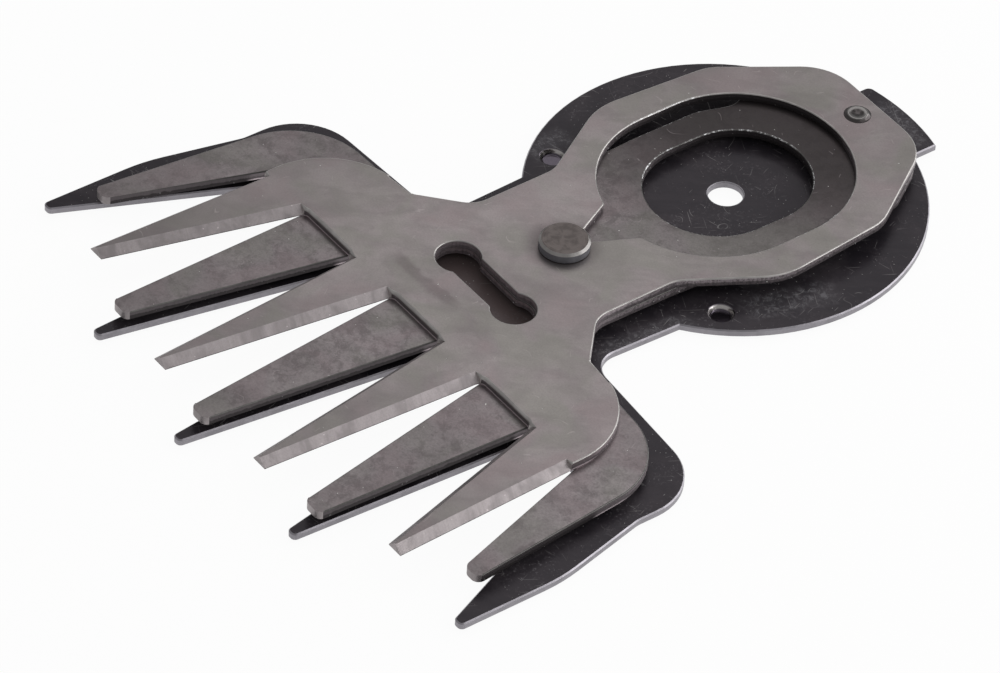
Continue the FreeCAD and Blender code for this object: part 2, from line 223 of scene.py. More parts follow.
class BladeSetStage(bpy.types.PropertyGroup):
    """Camera, floor and light."""
    azimuth: FloatProperty(
        name="Azimuth", description="Camera's turn round the set from straight in front of the teeth",
        default=math.radians(51.17), subtype="ANGLE")
    elevation: FloatProperty(
        name="Elevation", description="Camera's height above the horizon",
        default=math.radians(41.94), subtype="ANGLE")
    roll: FloatProperty(
        name="Roll", description="Camera's turn about its own line of sight",
        default=math.radians(4.17), subtype="ANGLE")
    distance: FloatProperty(
        name="Distance", description="Camera's distance from the point it looks at",
        default=0.9989, unit="LENGTH")
    target: FloatVectorProperty(
        name="Target", description="Point that the camera looks at", subtype="XYZ", unit="LENGTH",
        default=(7.0 * MM, -48.7 * MM, 0.1 * MM), precision=5)
    lens: FloatProperty(
        name="Lens", description="Focal length in millimetres on a sensor 36 mm wide", default=236.05)
    floor_size: FloatProperty(
        name="Floor size", description="Half width of the floor", default=2.0, unit="LENGTH")


class Value:
    """A shader socket that takes part in Python expressions; each operation adds a Math node."""

    def __init__(self, finish, socket):
        self.finish = finish
        self.socket = socket

    def _math(self, operation, first, second):
        node = self.finish.node("ShaderNodeMath", {"operation": operation}, {0: first, 1: second})
        return Value(self.finish, node.outputs[0])

    def __add__(self, other):
        return self._math("ADD", self, other)

    def __sub__(self, other):
        return self._math("SUBTRACT", self, other)

    def __rsub__(self, other):
        return self._math("SUBTRACT", other, self)

    def __mul__(self, other):
        return self._math("MULTIPLY", self, other)

    def __truediv__(self, other):
        return self._math("DIVIDE", self, other)

    def __rtruediv__(self, other):
        return self._math("DIVIDE", other, self)

    def __lt__(self, other):
        return self._math("LESS_THAN", self, other)

    def __gt__(self, other):
        return self._math("GREATER_THAN", self, other)

    def __abs__(self):
        return self._math("ABSOLUTE", self, 0.0)

    __radd__ = __add__
    __rmul__ = __mul__


class Finish:
    """A node material built on one Principled shader, in the object's own coordinates."""

    def __init__(self, name):
        self.material = bpy.data.materials.new(name)
        self.material.use_nodes = True
        self.tree = self.material.node_tree
        self.tree.nodes.clear()
        self.output = self.node("ShaderNodeOutputMaterial", {}, {})
        self.shader = self.node("ShaderNodeBsdfPrincipled", {}, {})
        self.tree.links.new(self.shader.outputs[0], self.output.inputs["Surface"])
        self.place = self.node("ShaderNodeTexCoord", {}, {}).outputs["Object"]

    def node(self, kind, settings, inputs):
        """Add a node, set what it does, then set or link its sockets."""
        node = self.tree.nodes.new(kind)
        for name, setting in settings.items():
            setattr(node, name, setting)
        for name, value in inputs.items():
            self.feed(node.inputs[name], value)
        return node

    def feed(self, socket, value):
        """Link a value or socket to a socket, or set it."""
        if isinstance(value, Value):
            value = value.socket
        if isinstance(value, bpy.types.NodeSocket):
            self.tree.links.new(value, socket)
        elif hasattr(value, "__len__") and socket.type == "RGBA":
            socket.default_value = (*value[:3], 1.0)
        else:
            socket.default_value = value

    def set(self, **sockets):
        """Set or link sockets of the Principled shader; underscores stand for spaces."""
        for name, value in sockets.items():
            self.feed(self.shader.inputs[name.replace("_", " ")], value)
        return self

    def stretched(self, stretch, turn=0.0):
        """Object coordinates turned about Z, with a pattern drawn out along each axis by its stretch."""
        settings = {"vector_type": "TEXTURE"}
        inputs = {"Vector": self.place, "Rotation": (0.0, 0.0, turn), "Scale": stretch}
        return self.node("ShaderNodeMapping", settings, inputs).outputs[0]

    def noise(self, size, detail=2.0, rough=0.5, swirl=0.0, stretch=(1.0, 1.0, 1.0), turn=0.0):
        """Noise from 0 to 1 whose blots are about the given size in metres."""
        inputs = {"Vector": self.stretched(stretch, turn), "Scale": 1.0 / size, "Detail": detail,
                  "Roughness": rough, "Distortion": swirl}
        return Value(self, self.node("ShaderNodeTexNoise", {}, inputs).outputs["Fac"])

    def cells(self, size):
        """A cell pattern; its node gives Distance and a random Color per cell."""
        broad = {"Vector": self.place, "Scale": 0.6 / size, "Detail": 1.0}
        warp = self.node("ShaderNodeTexNoise", {}, broad)
        bent = self.node("ShaderNodeVectorMath", {"operation": "MULTIPLY_ADD"},
                         {0: warp.outputs["Color"], 1: (size, size, size), 2: self.place})
        inputs = {"Vector": bent.outputs[0], "Scale": 1.0 / size}
        return self.node("ShaderNodeTexVoronoi", {"feature": "F1"}, inputs)

    def step(self, value, low, high):
        """0 below low, 1 above high and smooth between; low may be the larger."""
        node = self.node("ShaderNodeMapRange", {"interpolation_type": "SMOOTHSTEP"},
                         {"Value": value, "From Min": low, "From Max": high})
        return Value(self, node.outputs["Result"])

    def mix(self, factor, first, second):
        """Blend two colours."""
        node = self.node("ShaderNodeMix", {"data_type": "RGBA"}, {0: factor, 6: first, 7: second})
        return Value(self, node.outputs[2])

    def reach(self, axis):
        """Distance of a point from the upright line through another."""
        centred = self.node("ShaderNodeVectorMath", {"operation": "SUBTRACT"}, {0: self.place, 1: axis})
        flat = self.node("ShaderNodeVectorMath", {"operation": "MULTIPLY"},
                         {0: centred.outputs[0], 1: (1.0, 1.0, 0.0)})
        length = self.node("ShaderNodeVectorMath", {"operation": "LENGTH"}, {0: flat.outputs[0]})
        return Value(self, length.outputs["Value"])

    def near_line(self, middle, turn, length, width, bow):
        """1 on a ragged, bowed stroke of the given half length and half width, and 0 away from it."""
        settings = {"vector_type": "TEXTURE"}
        inputs = {"Vector": self.place, "Location": middle, "Rotation": (0.0, 0.0, turn)}
        turned = self.node("ShaderNodeMapping", settings, inputs).outputs[0]
        parts = self.node("ShaderNodeSeparateXYZ", {}, {0: turned})
        along = Value(self, parts.outputs["X"]) / length
        across = Value(self, parts.outputs["Y"]) + along * along * bow
        ragged = across + (self.noise(1.5 * MM, 3.0) - 0.5) * width
        away = abs(ragged) / width
        return self.step(away, 1.0, 0.3) * self.step(abs(along), 1.0, 0.6)

    def along(self, axis):
        """A point's place along X, Y or Z."""
        return Value(self, self.node("ShaderNodeSeparateXYZ", {}, {0: self.place}).outputs[axis])

    def bump(self, height, distance, strength=1.0):
        """A normal bent by a height pattern of the given depth in metres."""
        inputs = {"Height": height, "Distance": distance, "Strength": strength}
        return self.node("ShaderNodeBump", {}, inputs).outputs[0]

    def specks(self, size, reach, share):
        """Small round dots in a share of the cells of the given size."""
        cells = self.cells(size)
        near = Value(self, cells.outputs["Distance"]) < reach
        parts = self.node("ShaderNodeSeparateColor", {}, {0: cells.outputs["Color"]})
        chosen = Value(self, parts.outputs[0])
        return near * (chosen > 1.0 - share)

    def dashes(self, length, width, turn, low):
        """Short straight strokes in one direction; the higher the low mark, the fewer there are."""
        stroke = self.noise(width, 0.0, 0.5, 0.0, (length / width, 1.0, 1.0), turn)
        return self.step(stroke, low, low + 0.04)

    def scratches(self, size, width, breaks, share):
        """Thin curved lines, the contours of a noise, broken up so that only a share of them is left."""
        level = self.noise(size, 0.0, 0.5, 0.3) - 0.5
        away = abs(level)
        kept = self.step(self.noise(breaks, 1.0), 1.0 - share, 1.08 - share)
        return self.step(away, width, width * 0.3) * kept


def scaled(colour, factor):
    """A colour times a number."""
    return tuple(channel * factor for channel in colour)


def warmed(colour, red, green, blue):
    """A colour with each channel scaled by itself."""
    return (colour[0] * red, colour[1] * green, colour[2] * blue)


def level_mark(x, y, turn, length, width, bow=0.0):
    """The middle, turn, half length, half width and bow of a mark, from millimetres and degrees."""
    return Vector((x, y, 0.0)) * MM, math.radians(turn), length * MM, width * MM, bow * MM


def tempered_steel(name, colour, stain, blotch, mottle, painted_rear_shade, axis, smudges=()):
    """Tempered sheet: satin grey with clouds and specks, blotched by its mottle, with painted shade towards
    the rear, the tooth tips and the far side.
    """
    finish = Finish(name)
    across = finish.along("X")
    back = finish.along("Y")
    cloud = finish.noise(14 * MM, 4.0, 0.6, 0.3)
    patch = finish.step(finish.noise(blotch, 6.0, 0.75, 0.2), 0.46, 0.62)
    fleck = finish.step(finish.noise(0.6 * MM, 3.0, 0.7), 0.54, 0.70)
    streak = finish.noise(1.4 * MM, 3.0, 0.6, 0.2, (5.0, 1.0, 1.0), WIPE_TURN)
    grain = finish.noise(0.3 * MM, 3.0, 0.7)
    smear_and_sheen = finish.noise(4.5 * MM, 4.0, 0.62, 0.6, (1.8, 1.0, 1.0), WIPE_TURN)
    tint = finish.noise(9 * MM, 2.0, 0.5, 0.5)
    dust = finish.specks(1.3 * MM, 0.065, 0.10 + 0.4 * mottle)
    pit = finish.specks(1.3 * MM, 0.10, 0.14)
    line = finish.scratches(4 * MM, 0.010, 2.6 * MM, 0.40)
    # Painted shade: darker towards the rear, strongly on the lower blade where the upper blade covers it
    rear_shade_mask = finish.step(back - across * REAR_SHADE_SLANT, *REAR_PAINTED_SHADE)
    shaded = finish.step(back, *TOOTH_SHADE) + finish.step(across, *FAR_SHADE)
    halo = finish.step(finish.reach(axis) + (cloud - 0.5) * HALO_WANDER, *PIVOT_HALO)
    tone = finish.mix((cloud - 0.38) * (1.3 + 0.6 * mottle), scaled(colour, 1.2), scaled(colour, 0.68))
    tone = finish.mix(finish.step(smear_and_sheen, 0.42, 0.62) * 0.4, tone, scaled(colour, 0.7))
    tone = finish.mix(patch * mottle, tone, stain)
    tone = finish.mix(finish.step(tint, 0.46, 0.66) * 0.5, tone, warmed(colour, 0.90, 1.0, 0.88))
    tone = finish.mix(finish.step(tint, 0.52, 0.32) * 0.5, tone, warmed(colour, 1.07, 0.96, 0.99))
    tone = finish.mix(finish.step(streak, 0.38, 0.66) * cloud * 0.16, tone, scaled(colour, 0.62))
    tone = finish.mix(fleck * (0.9 * mottle), tone, scaled(colour, 1.45))
    tone = finish.mix((grain - 0.40) * (0.66 + 1.8 * mottle), tone, scaled(colour, 0.5))
    # Painted shade to the rear, then painted shade towards the tooth tips and the far side
    tone = finish.mix(rear_shade_mask * painted_rear_shade, tone, scaled(stain, 0.34))
    tone = finish.mix(shaded * (0.52 - 0.8 * mottle), tone, scaled(colour, 0.55))
    tone = finish.mix(halo * 0.6, tone, stain)
    tone = finish.mix(pit * 0.45, tone, scaled(stain, 0.8))
    tone = finish.mix(line * 0.34, tone, scaled(colour, 1.7))
    tone = finish.mix(dust * 0.6, tone, PALE_DUST)
    for smudge in smudges:
        tone = finish.mix(finish.near_line(*smudge) * 0.42, tone, scaled(stain, 1.3))
    rough = 0.37 + (cloud - 0.5) * 0.12 + patch * (0.10 * mottle) + (grain - 0.5) * 0.12
    relief = streak * 0.08 + grain * 0.6 - line * 0.5 + dust * 0.8 - pit * 0.4
    return finish.set(Base_Color=tone, Metallic=0.85, Roughness=rough,
                      Normal=finish.bump(relief, 0.014 * MM, 0.5)).material


def ground_bevel(name, colour):
    """Bare steel with striations that run across the bevel, as a grinding wheel leaves them."""
    finish = Finish(name)
    stroke = finish.noise(0.8 * MM, 4.0, 0.65, 0.3, (10.0, 1.0, 10.0), GRIND_TURN)
    burn = finish.step(finish.noise(4 * MM, 3.0, 0.6, 0.6, (1.6, 1.0, 1.6)), 0.42, 0.66)
    grain = finish.noise(0.25 * MM, 2.0)
    nick = finish.specks(1.0 * MM, 0.12, 0.20)
    tone = finish.mix(burn * 0.7, colour, scaled(colour, 0.60))
    tone = finish.mix((stroke - 0.38) * 0.8, tone, scaled(colour, 0.55))
    tone = finish.mix((grain - 0.4) * 0.9, tone, scaled(colour, 0.6))
    tone = finish.mix(nick * 0.7, tone, scaled(colour, 1.7))
    rough = 0.43 + stroke * 0.14
    return finish.set(Base_Color=tone, Metallic=0.9, Roughness=rough,
                      Normal=finish.bump(stroke + grain * 0.4, 0.02 * MM, 0.5)).material


def sheared_wall(name, colour, bottom, top):
    """A punched edge: a burnished band above, a torn and darker one below, lighter behind the teeth partly
    by rubbing and partly by painted light, with painted glints and a thin bright line at the foot of the
    roots.
    """
    finish = Finish(name)
    back = finish.along("Y")
    level = (finish.along("Z") - bottom) / (top - bottom)
    ragged = finish.noise(0.9 * MM, 3.0, 0.6)
    torn = finish.step(level + (ragged - 0.5) * 0.5, 0.52, 0.40)
    tear = finish.noise(0.3 * MM, 3.0, 0.7, 0.0, (1.0, 1.0, 2.0))
    drag = finish.noise(0.35 * MM, 2.0, 0.5, 0.0, (1.0, 1.0, 16.0))
    glint = finish.specks(0.6 * MM, 0.20, 0.22)
    chatter = finish.step(finish.noise(0.5 * MM, 3.0, 0.75), 0.48, 0.60)
    bright_marks = finish.step(level + (ragged - 0.5) * 0.1, 0.24, 0.12)
    # Painted light, partly rubbing: walls behind the teeth, round the openings, along the slot and on the
    # ring's near flank are lightened, most on the ring
    middle = finish.step(back, *RUB_AND_LIGHT_FRONT) * finish.step(back, *RUB_AND_LIGHT_REAR)
    outside = finish.step(finish.reach(DRIVE_AXIS), *FLANK_REACH)
    flank = outside * finish.step(finish.along("X"), *FLANK_NEAR) * finish.step(back, *FLANK_FRONT)
    rubbed_and_painted_light = 1.0 - (1.0 - middle) * (1.0 - flank)
    ring = finish.step(back, *RING_FRONT)
    root = finish.step(back, *ROOT_FRONT) * finish.step(back, *ROOT_REAR)
    tone = finish.mix(rubbed_and_painted_light, colour, finish.mix(ring, scaled(colour, 5.6), scaled(colour, 4.2)))
    tone = finish.mix((drag - 0.45) * 1.2, tone, scaled(colour, 0.6))
    tone = finish.mix(torn * (1.0 - rubbed_and_painted_light * (0.35 - ring * 0.15)) * 0.8, tone, scaled(colour, 0.36))
    tone = finish.mix(chatter * rubbed_and_painted_light * ring * 0.6, tone, scaled(colour, 0.7))
    tone = finish.mix(torn * glint * (0.15 + rubbed_and_painted_light * 0.75), tone, BARE_GLINT)
    # Lighter root walls, with a thin bright line at their foot
    tone = finish.mix(root * 0.7, tone, scaled(colour, 2.2))
    tone = finish.mix(root * bright_marks * 0.8, tone, scaled(colour, 9.0))
    rough = 0.34 + torn * 0.2 + drag * 0.1
    relief = torn * tear + (1.0 - torn) * drag * 0.3
    return finish.set(Base_Color=tone, Metallic=0.85, Roughness=rough,
                      Normal=finish.bump(relief, 0.05 * MM, 0.6)).material


def worn_rim(name, colour, bright_marks=0.0):
    """A rolled rim that handling has rubbed bright, with small nicks, and near-white flecks round the drive
    opening that are partly burrs and partly painted glints.
    """
    finish = Finish(name)
    rubbed_and_painted_light = finish.step(finish.noise(3.0 * MM, 3.0, 0.6), 0.36, 0.66)
    nick = finish.noise(0.4 * MM, 2.0)
    tone = finish.mix(rubbed_and_painted_light * 0.5, scaled(colour, 0.72), scaled(colour, 1.15))
    if bright_marks:
        # Near-white flecks that stay bright in shade: partly burrs, partly painted glints
        fleck = finish.step(finish.noise(0.5 * MM, 4.0, 0.75), 0.46, 0.64)
        fleck = fleck * finish.step(finish.noise(7 * MM, 2.0), 0.40, 0.56)
        fleck = fleck * finish.step(finish.reach(DRIVE_AXIS), *BURR_AND_GLINT_REACH)
        tone = finish.mix(fleck * bright_marks, tone, BURR_AND_GLINT_WHITE)
    return finish.set(Base_Color=tone, Metallic=0.9, Roughness=0.30 + nick * 0.1,
                      Normal=finish.bump(nick, 0.02 * MM, 0.4)).material


def pressed_metal(name, colour, bright, low, high):
    """A form that the press has burnished, with a painted highlight band between two levels."""
    finish = Finish(name)
    grain = finish.noise(0.3 * MM, 2.0)
    level = (finish.along("Z") - low) / (high - low)
    # Painted highlight: a bright band between the two levels
    rubbed_and_painted_light = finish.step(level, 0.0, 0.3) * finish.step(level, 1.0, 0.7)
    tone = finish.mix((grain - 0.4) * 0.6, colour, scaled(colour, 0.7))
    tone = finish.mix(rubbed_and_painted_light, tone, bright)
    return finish.set(Base_Color=tone, Metallic=0.9, Roughness=0.14 + grain * 0.08,
                      Normal=finish.bump(grain, 0.006 * MM, 0.5)).material


def black_oxide(name, colour, dusty, scuffs_and_sheen):
    """Glossy black oxide with rub marks, fine scratches, dust along one line, and scuffs and painted sheen
    along others.
    """
    finish = Finish(name)
    rub = finish.step(finish.noise(13 * MM, 4.0, 0.6, 0.8), 0.40, 0.66)
    haze = finish.noise(1.0 * MM, 4.0, 0.7)
    wipe = finish.noise(1.6 * MM, 3.0, 0.6, 0.2, (5.0, 1.0, 1.0), WIPE_TURN)
    line = finish.scratches(6 * MM, 0.006, 2.4 * MM, 0.44)
    for turn, length in STRAIGHT_SCRATCHES:
        line = line + finish.dashes(length * MM, 0.2 * MM, math.radians(turn), 0.82)
    line = line * finish.step(finish.noise(9 * MM, 2.0), 0.38, 0.62)
    scuff = finish.step(finish.noise(0.5 * MM, 4.0, 0.75), 0.54, 0.70)
    scuff = scuff * finish.step(finish.noise(6 * MM, 3.0, 0.6), 0.47, 0.62)
    wisp = finish.step(finish.noise(1.1 * MM, 5.0, 0.75, 0.8), 0.46, 0.66)
    # Scuffs along some lines and painted sheen along others, both lighter
    smear_and_sheen = sum(finish.near_line(*mark) for mark in scuffs_and_sheen) * (wisp * 0.85 + 0.15)
    dust = finish.specks(0.6 * MM, 0.12, 0.26) * finish.step(finish.noise(8 * MM, 2.0), 0.34, 0.58)
    tone = finish.mix(rub * haze * 0.5 + (wipe - 0.4) * 0.3, colour, OXIDE_RUB)
    tone = finish.mix(finish.near_line(*dusty) * 0.9, tone, OXIDE_DUST)
    tone = finish.mix(scuff * 0.5, tone, OXIDE_SCUFF)
    tone = finish.mix(smear_and_sheen * 0.6, tone, OXIDE_SMEAR_AND_SHEEN)
    tone = finish.mix(line * 0.5, tone, OXIDE_SCRATCH)
    tone = finish.mix(dust * 0.6, tone, OXIDE_SPECK)
    rough = 0.30 + rub * 0.10 + (haze - 0.5) * 0.14 + scuff * 0.1
    relief = haze * 0.4 - line * 0.5 + dust * 0.8 + scuff * 0.3
    return finish.set(Base_Color=tone, Metallic=0.0, Roughness=rough, Specular_IOR_Level=0.17,
                      Specular_Tint=OXIDE_SHEEN,
                      Normal=finish.bump(relief, 0.014 * MM, 0.5)).material


def oxide_edge(name, colour):
    """The guard's cut edge, where the coat is thin and the steel shows through."""
    finish = Finish(name)
    drag = finish.noise(0.5 * MM, 2.0, 0.5, 0.0, (1.0, 1.0, 12.0))
    worn = finish.step(finish.noise(5 * MM, 3.0, 0.6), 0.38, 0.7)
    tone = finish.mix(worn * 0.45, colour, scaled(colour, 0.55))
    tone = finish.mix((drag - 0.45) * 0.6, tone, scaled(colour, 0.6))
    return finish.set(Base_Color=tone, Metallic=0.7, Roughness=0.32 + drag * 0.12,
                      Normal=finish.bump(drag, 0.02 * MM, 0.4)).material


def turned_steel(name, colour, axis):
    """Tumbled steel of the rivet, with faint rings about its axis."""
    finish = Finish(name)
    rings = finish.node("ShaderNodeTexNoise", {"noise_dimensions": "1D"},
                        {"W": finish.reach(axis) / (0.22 * MM), "Scale": 1.0, "Detail": 2.0})
    rings = Value(finish, rings.outputs["Fac"])
    blotch = finish.step(finish.noise(1.7 * MM, 3.0, 0.6, 0.4), 0.42, 0.64)
    dust = finish.specks(1.6 * MM, 0.07, 0.12)
    tone = finish.mix(blotch * 0.6, colour, scaled(colour, 0.6))
    tone = finish.mix((rings - 0.42) * 0.7, tone, scaled(colour, 1.35))
    tone = finish.mix(dust * 0.7, tone, RIVET_DUST)
    rough = 0.34 + blotch * 0.1 + (rings - 0.5) * 0.08
    return finish.set(Base_Color=tone, Metallic=0.85, Roughness=rough,
                      Normal=finish.bump(rings, 0.008 * MM, 0.5)).material


def smooth_step(share):
    """0 up to 0, 1 from 1 and smooth between."""
    share = min(max(share, 0.0), 1.0)
    return share * share * (3 - 2 * share)


def lathe(mesh, profile, centre, steps):
    """Spin a profile of (radius, level) points round the upright line at a centre and return its faces."""
    before = set(mesh.faces)
    verts = [mesh.verts.new((centre.x + radius, centre.y, level)) for radius, level in profile]
    edges = [mesh.edges.new(pair) for pair in zip(verts, verts[1:])]
    bmesh.ops.spin(mesh, geom=verts + edges, cent=(centre.x, centre.y, 0.0), axis=(0.0, 0.0, 1.0),
                   dvec=(0.0, 0.0, 0.0), angle=2 * math.pi, steps=steps, use_merge=True)
    bmesh.ops.remove_doubles(mesh, verts=mesh.verts, dist=MERGE_DISTANCE)
    return [face for face in mesh.faces if face not in before]


def merged_copy(node):
    """A bmesh of a solid with its points joined and its flat faces whole."""
    mesh = bmesh.new()
    mesh.from_mesh(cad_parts[node].data)
    bmesh.ops.remove_doubles(mesh, verts=mesh.verts, dist=MERGE_DISTANCE)
    bmesh.ops.dissolve_limit(mesh, angle_limit=FLAT_ANGLE, verts=mesh.verts, edges=mesh.edges)
    mesh.normal_update()
    return mesh


def sheet_top(mesh):
    """Level of a sheet's upper face, the largest that looks up."""
    upward = [face for face in mesh.faces if face.normal.z > LEVEL_NORMAL]
    return max(upward, key=lambda face: face.calc_area()).verts[0].co.z


def pressed_regions(mesh, cap):
    """The cups and pips pressed in a sheet, each a set of faces inside its upper face."""
    seeds = [face for face in mesh.faces if face.normal.z > LEVEL_NORMAL and face not in cap]
    regions = []
    while seeds:
        region = set()
        growing = [seeds[0]]
        while growing:
            face = growing.pop()
            if face not in region and face not in cap:
                region.add(face)
                growing += [other for edge in face.edges for other in edge.link_faces]
        seeds = [seed for seed in seeds if seed not in region]
        # A ledge on the rim spreads to the underside, and the upper face encloses only a press
        if all(face.normal.z > -LEVEL_NORMAL for face in region):
            regions.append(region)
    return regions


def pressed_profile(region, top, lip):
    """Centre of a pressed form, and its section as (radius, level) points from the outside in."""
    points = [vert.co for face in region for vert in face.verts]
    low = Vector(min(point[axis] for point in points) for axis in range(3))
    high = Vector(max(point[axis] for point in points) for axis in range(3))
    centre = ((low + high) / 2).to_2d()
    radius = (high.x - low.x) / 2
    away = [round((point.to_2d() - centre).length / LEVEL_SLACK) for point in points]
    middle = min(point.z for point, steps in zip(points, away) if steps == min(away))
    rise = high.z - top
    fall = middle - high.z
    # A pip rises over its lip and then dips to its middle, and a cup falls over its lip
    inner, dip = (radius - lip, radius - lip) if rise > LEVEL_SLACK else (radius, lip)
    profile = []
    for step in range(PRESS_STEPS + 1):
        reach = radius * (1 - step / PRESS_STEPS)
        raised = rise * smooth_step((radius - reach) / lip)
        sunk = fall * smooth_step((inner - reach) / dip)
        profile.append((reach, top + raised + sunk))
    return centre, profile


def finish_of(face, slanted):
    """A face's finish by how level it lies; slanted is the one between level and upright."""
    level = abs(face.normal.z)
    if level > LEVEL_NORMAL:
        return FACE
    return WALL if level < WALL_NORMAL else slanted


def at_root(face, root_line):
    """Whether a face looks forward and lies just behind the line of the roots between teeth."""
    return face.normal.y < -ROOT_FACING and 0.0 < face.calc_center_median().y - root_line < ROOT_REACH


def wall_roll(face, root_line, sizes):
    """Radius of the roll above a wall: none on a ground face, more on the wall at the root of a gap."""
    if face.material_index == GROUND:
        return 0.0
    return sizes.root_roll if at_root(face, root_line) else sizes.edge_roll


def mark_finishes(mesh, root_line):
    """Give each face of an opened sheet its finish; a root's wall that touches a bevel is its run-out."""
    for face in mesh.faces:
        at_tip = face.normal.y < -TIP_FACING and face.calc_center_median().y < root_line
        face.material_index = GROUND if at_tip else finish_of(face, GROUND)
    bevels = {face for face in mesh.faces if face.material_index == GROUND and face.normal.z > WALL_NORMAL}
    for face in {face for bevel in bevels for edge in bevel.edges for face in edge.link_faces}:
        forward = face.normal.y < -RUN_OUT_FACING and at_root(face, root_line)
        if forward and face.material_index == WALL:
            face.material_index = RUN_OUT


def rim_shifts(rim, root_line, sizes):
    """For each corner of an open rim, its place, its way in when rolled and the roll's radius."""
    shifts = {}
    for vert in {vert for edge in rim for vert in edge.verts}:
        walls = [edge.link_faces[0] for edge in vert.link_edges if edge.is_boundary]
        first, second = (wall.normal.to_2d().normalized() for wall in walls)
        rolls = [wall_roll(wall, root_line, sizes) for wall in walls]
        roll = sum(rolls) / 2 if all(rolls) else 0.0
        shifts[vert] = (vert.co.to_2d(), -(first + second) / (1 + first.dot(second)) * roll, roll)
    return shifts


def roll_rim(mesh, top, root_line, sizes):
    """Draw the open rim of a sheet up and in, a few steps round its roll."""
    rim = [edge for edge in mesh.edges if edge.is_boundary]
    shifts = rim_shifts(rim, root_line, sizes)
    for step in range(ROLL_STEPS + 1):
        if step:
            grown = bmesh.ops.extrude_edge_only(mesh, edges=rim)["geom"]
            rim = [part for part in grown if isinstance(part, bmesh.types.BMEdge)]
            for face in (part for part in grown if isinstance(part, bmesh.types.BMFace)):
                face.material_index = RIM
            raised = {}
            for vert in (part for part in grown if isinstance(part, bmesh.types.BMVert)):
                ends = [edge.other_vert(vert) for edge in vert.link_edges]
                raised[vert] = next(shifts[end] for end in ends if end in shifts)
            shifts = raised
            rim = [edge for edge in rim if edge.is_boundary]
        angle = math.pi / 2 * step / ROLL_STEPS
        for vert, (place, shift, roll) in shifts.items():
            moved = place + shift * (1 - math.cos(angle))
            vert.co = (moved.x, moved.y, top - roll * (1 - math.sin(angle)))


def dress_sheet(mesh, root_line, sizes):
    """Replace a sheet's upper face by a rolled rim, softly pressed forms and a flat cap."""
    top = sheet_top(mesh)
    cap = {face for face in mesh.faces
           if face.normal.z > LEVEL_NORMAL and abs(face.calc_center_median().z - top) < LEVEL_SLACK}
    regions = pressed_regions(mesh, cap)
    forms = [pressed_profile(region, top, sizes.press_lip) for region in regions]
    bmesh.ops.delete(mesh, geom=list(cap.union(*regions)), context="FACES")
    mark_finishes(mesh, root_line)
    roll_rim(mesh, top, root_line, sizes)
    for centre, profile in forms:
        for face in lathe(mesh, profile, centre, PRESS_SPIN):
            face.material_index = PRESSED
    rim = [edge for edge in mesh.edges if edge.is_boundary]
    bmesh.ops.triangle_fill(mesh, edges=rim, use_beauty=True, normal=(0.0, 0.0, 1.0))
    bmesh.ops.remove_doubles(mesh, verts=mesh.verts, dist=MERGE_DISTANCE)
    bmesh.ops.recalc_face_normals(mesh, faces=mesh.faces)


def as_piece(mesh, name, finishes, body, stands_for):
    """Turn a bmesh into a piece that rides on a body and stands for some of its nodes."""
    for face in mesh.faces:
        face.smooth = face.material_index in SMOOTH_FINISHES
    for edge in mesh.edges:
        edge.smooth = edge.calc_face_angle(0.0) < SMOOTH_ANGLE
    data = bpy.data.meshes.new(name)
    mesh.to_mesh(data)
    mesh.free()
    for finish in finishes:
        data.materials.append(finish)
    piece = bpy.data.objects.new(name, data)
    bpy.context.scene.collection.objects.link(piece)
    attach(piece, body)
    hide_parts(*stands_for)


class BLADESET_OT_guard(bpy.types.Operator):
    """Dress the black guard plate and its two pressed cups."""
    bl_idname = "bladeset.guard"
    bl_label = "Guard plate"

    def execute(self, context):
        settings = context.scene.blade_set
        colours = settings.colours
        under_slot = level_mark(-3.4, -43.9, 0, 18.0, 10.0)
        by_waist = level_mark(20.4, -31.0, 86, 10.0, 3.5)
        by_near_cup = level_mark(25.2, -7.0, 76, 9.0, 3.5)
        # Painted sheen: the strokes on the tab and by the far cup stand in for reflections
        sheen_on_tab = level_mark(1.5, 33.8, -11, 7.0, 3.0)
        sheen_by_far_cup = level_mark(-24.5, -16.5, 95, 5.0, 3.0)
        scuffs_and_sheen = [by_waist, by_near_cup, sheen_on_tab, sheen_by_far_cup]
        coat = black_oxide("black_oxide", colours.black_oxide, under_slot, scuffs_and_sheen)
        edge = oxide_edge("guard_cut_edge", colours.guard_edge)
        rim = worn_rim("guard_rim", scaled(colours.guard_edge, 1.1))
        mesh = merged_copy("guard_plate")
        top = sheet_top(mesh)
        # Painted highlight round the lip of each cup
        press = pressed_metal("guard_press", scaled(colours.black_oxide, 5.0), colours.worn_rim,
                              top - CUP_HIGHLIGHT_BELOW, top)
        dress_sheet(mesh, -math.inf, settings.sizes)
        finishes = [coat, edge, rim, rim, press]
        as_piece(mesh, "guard_sheet", finishes, "guard", ["guard_plate"])
        return {"FINISHED"}


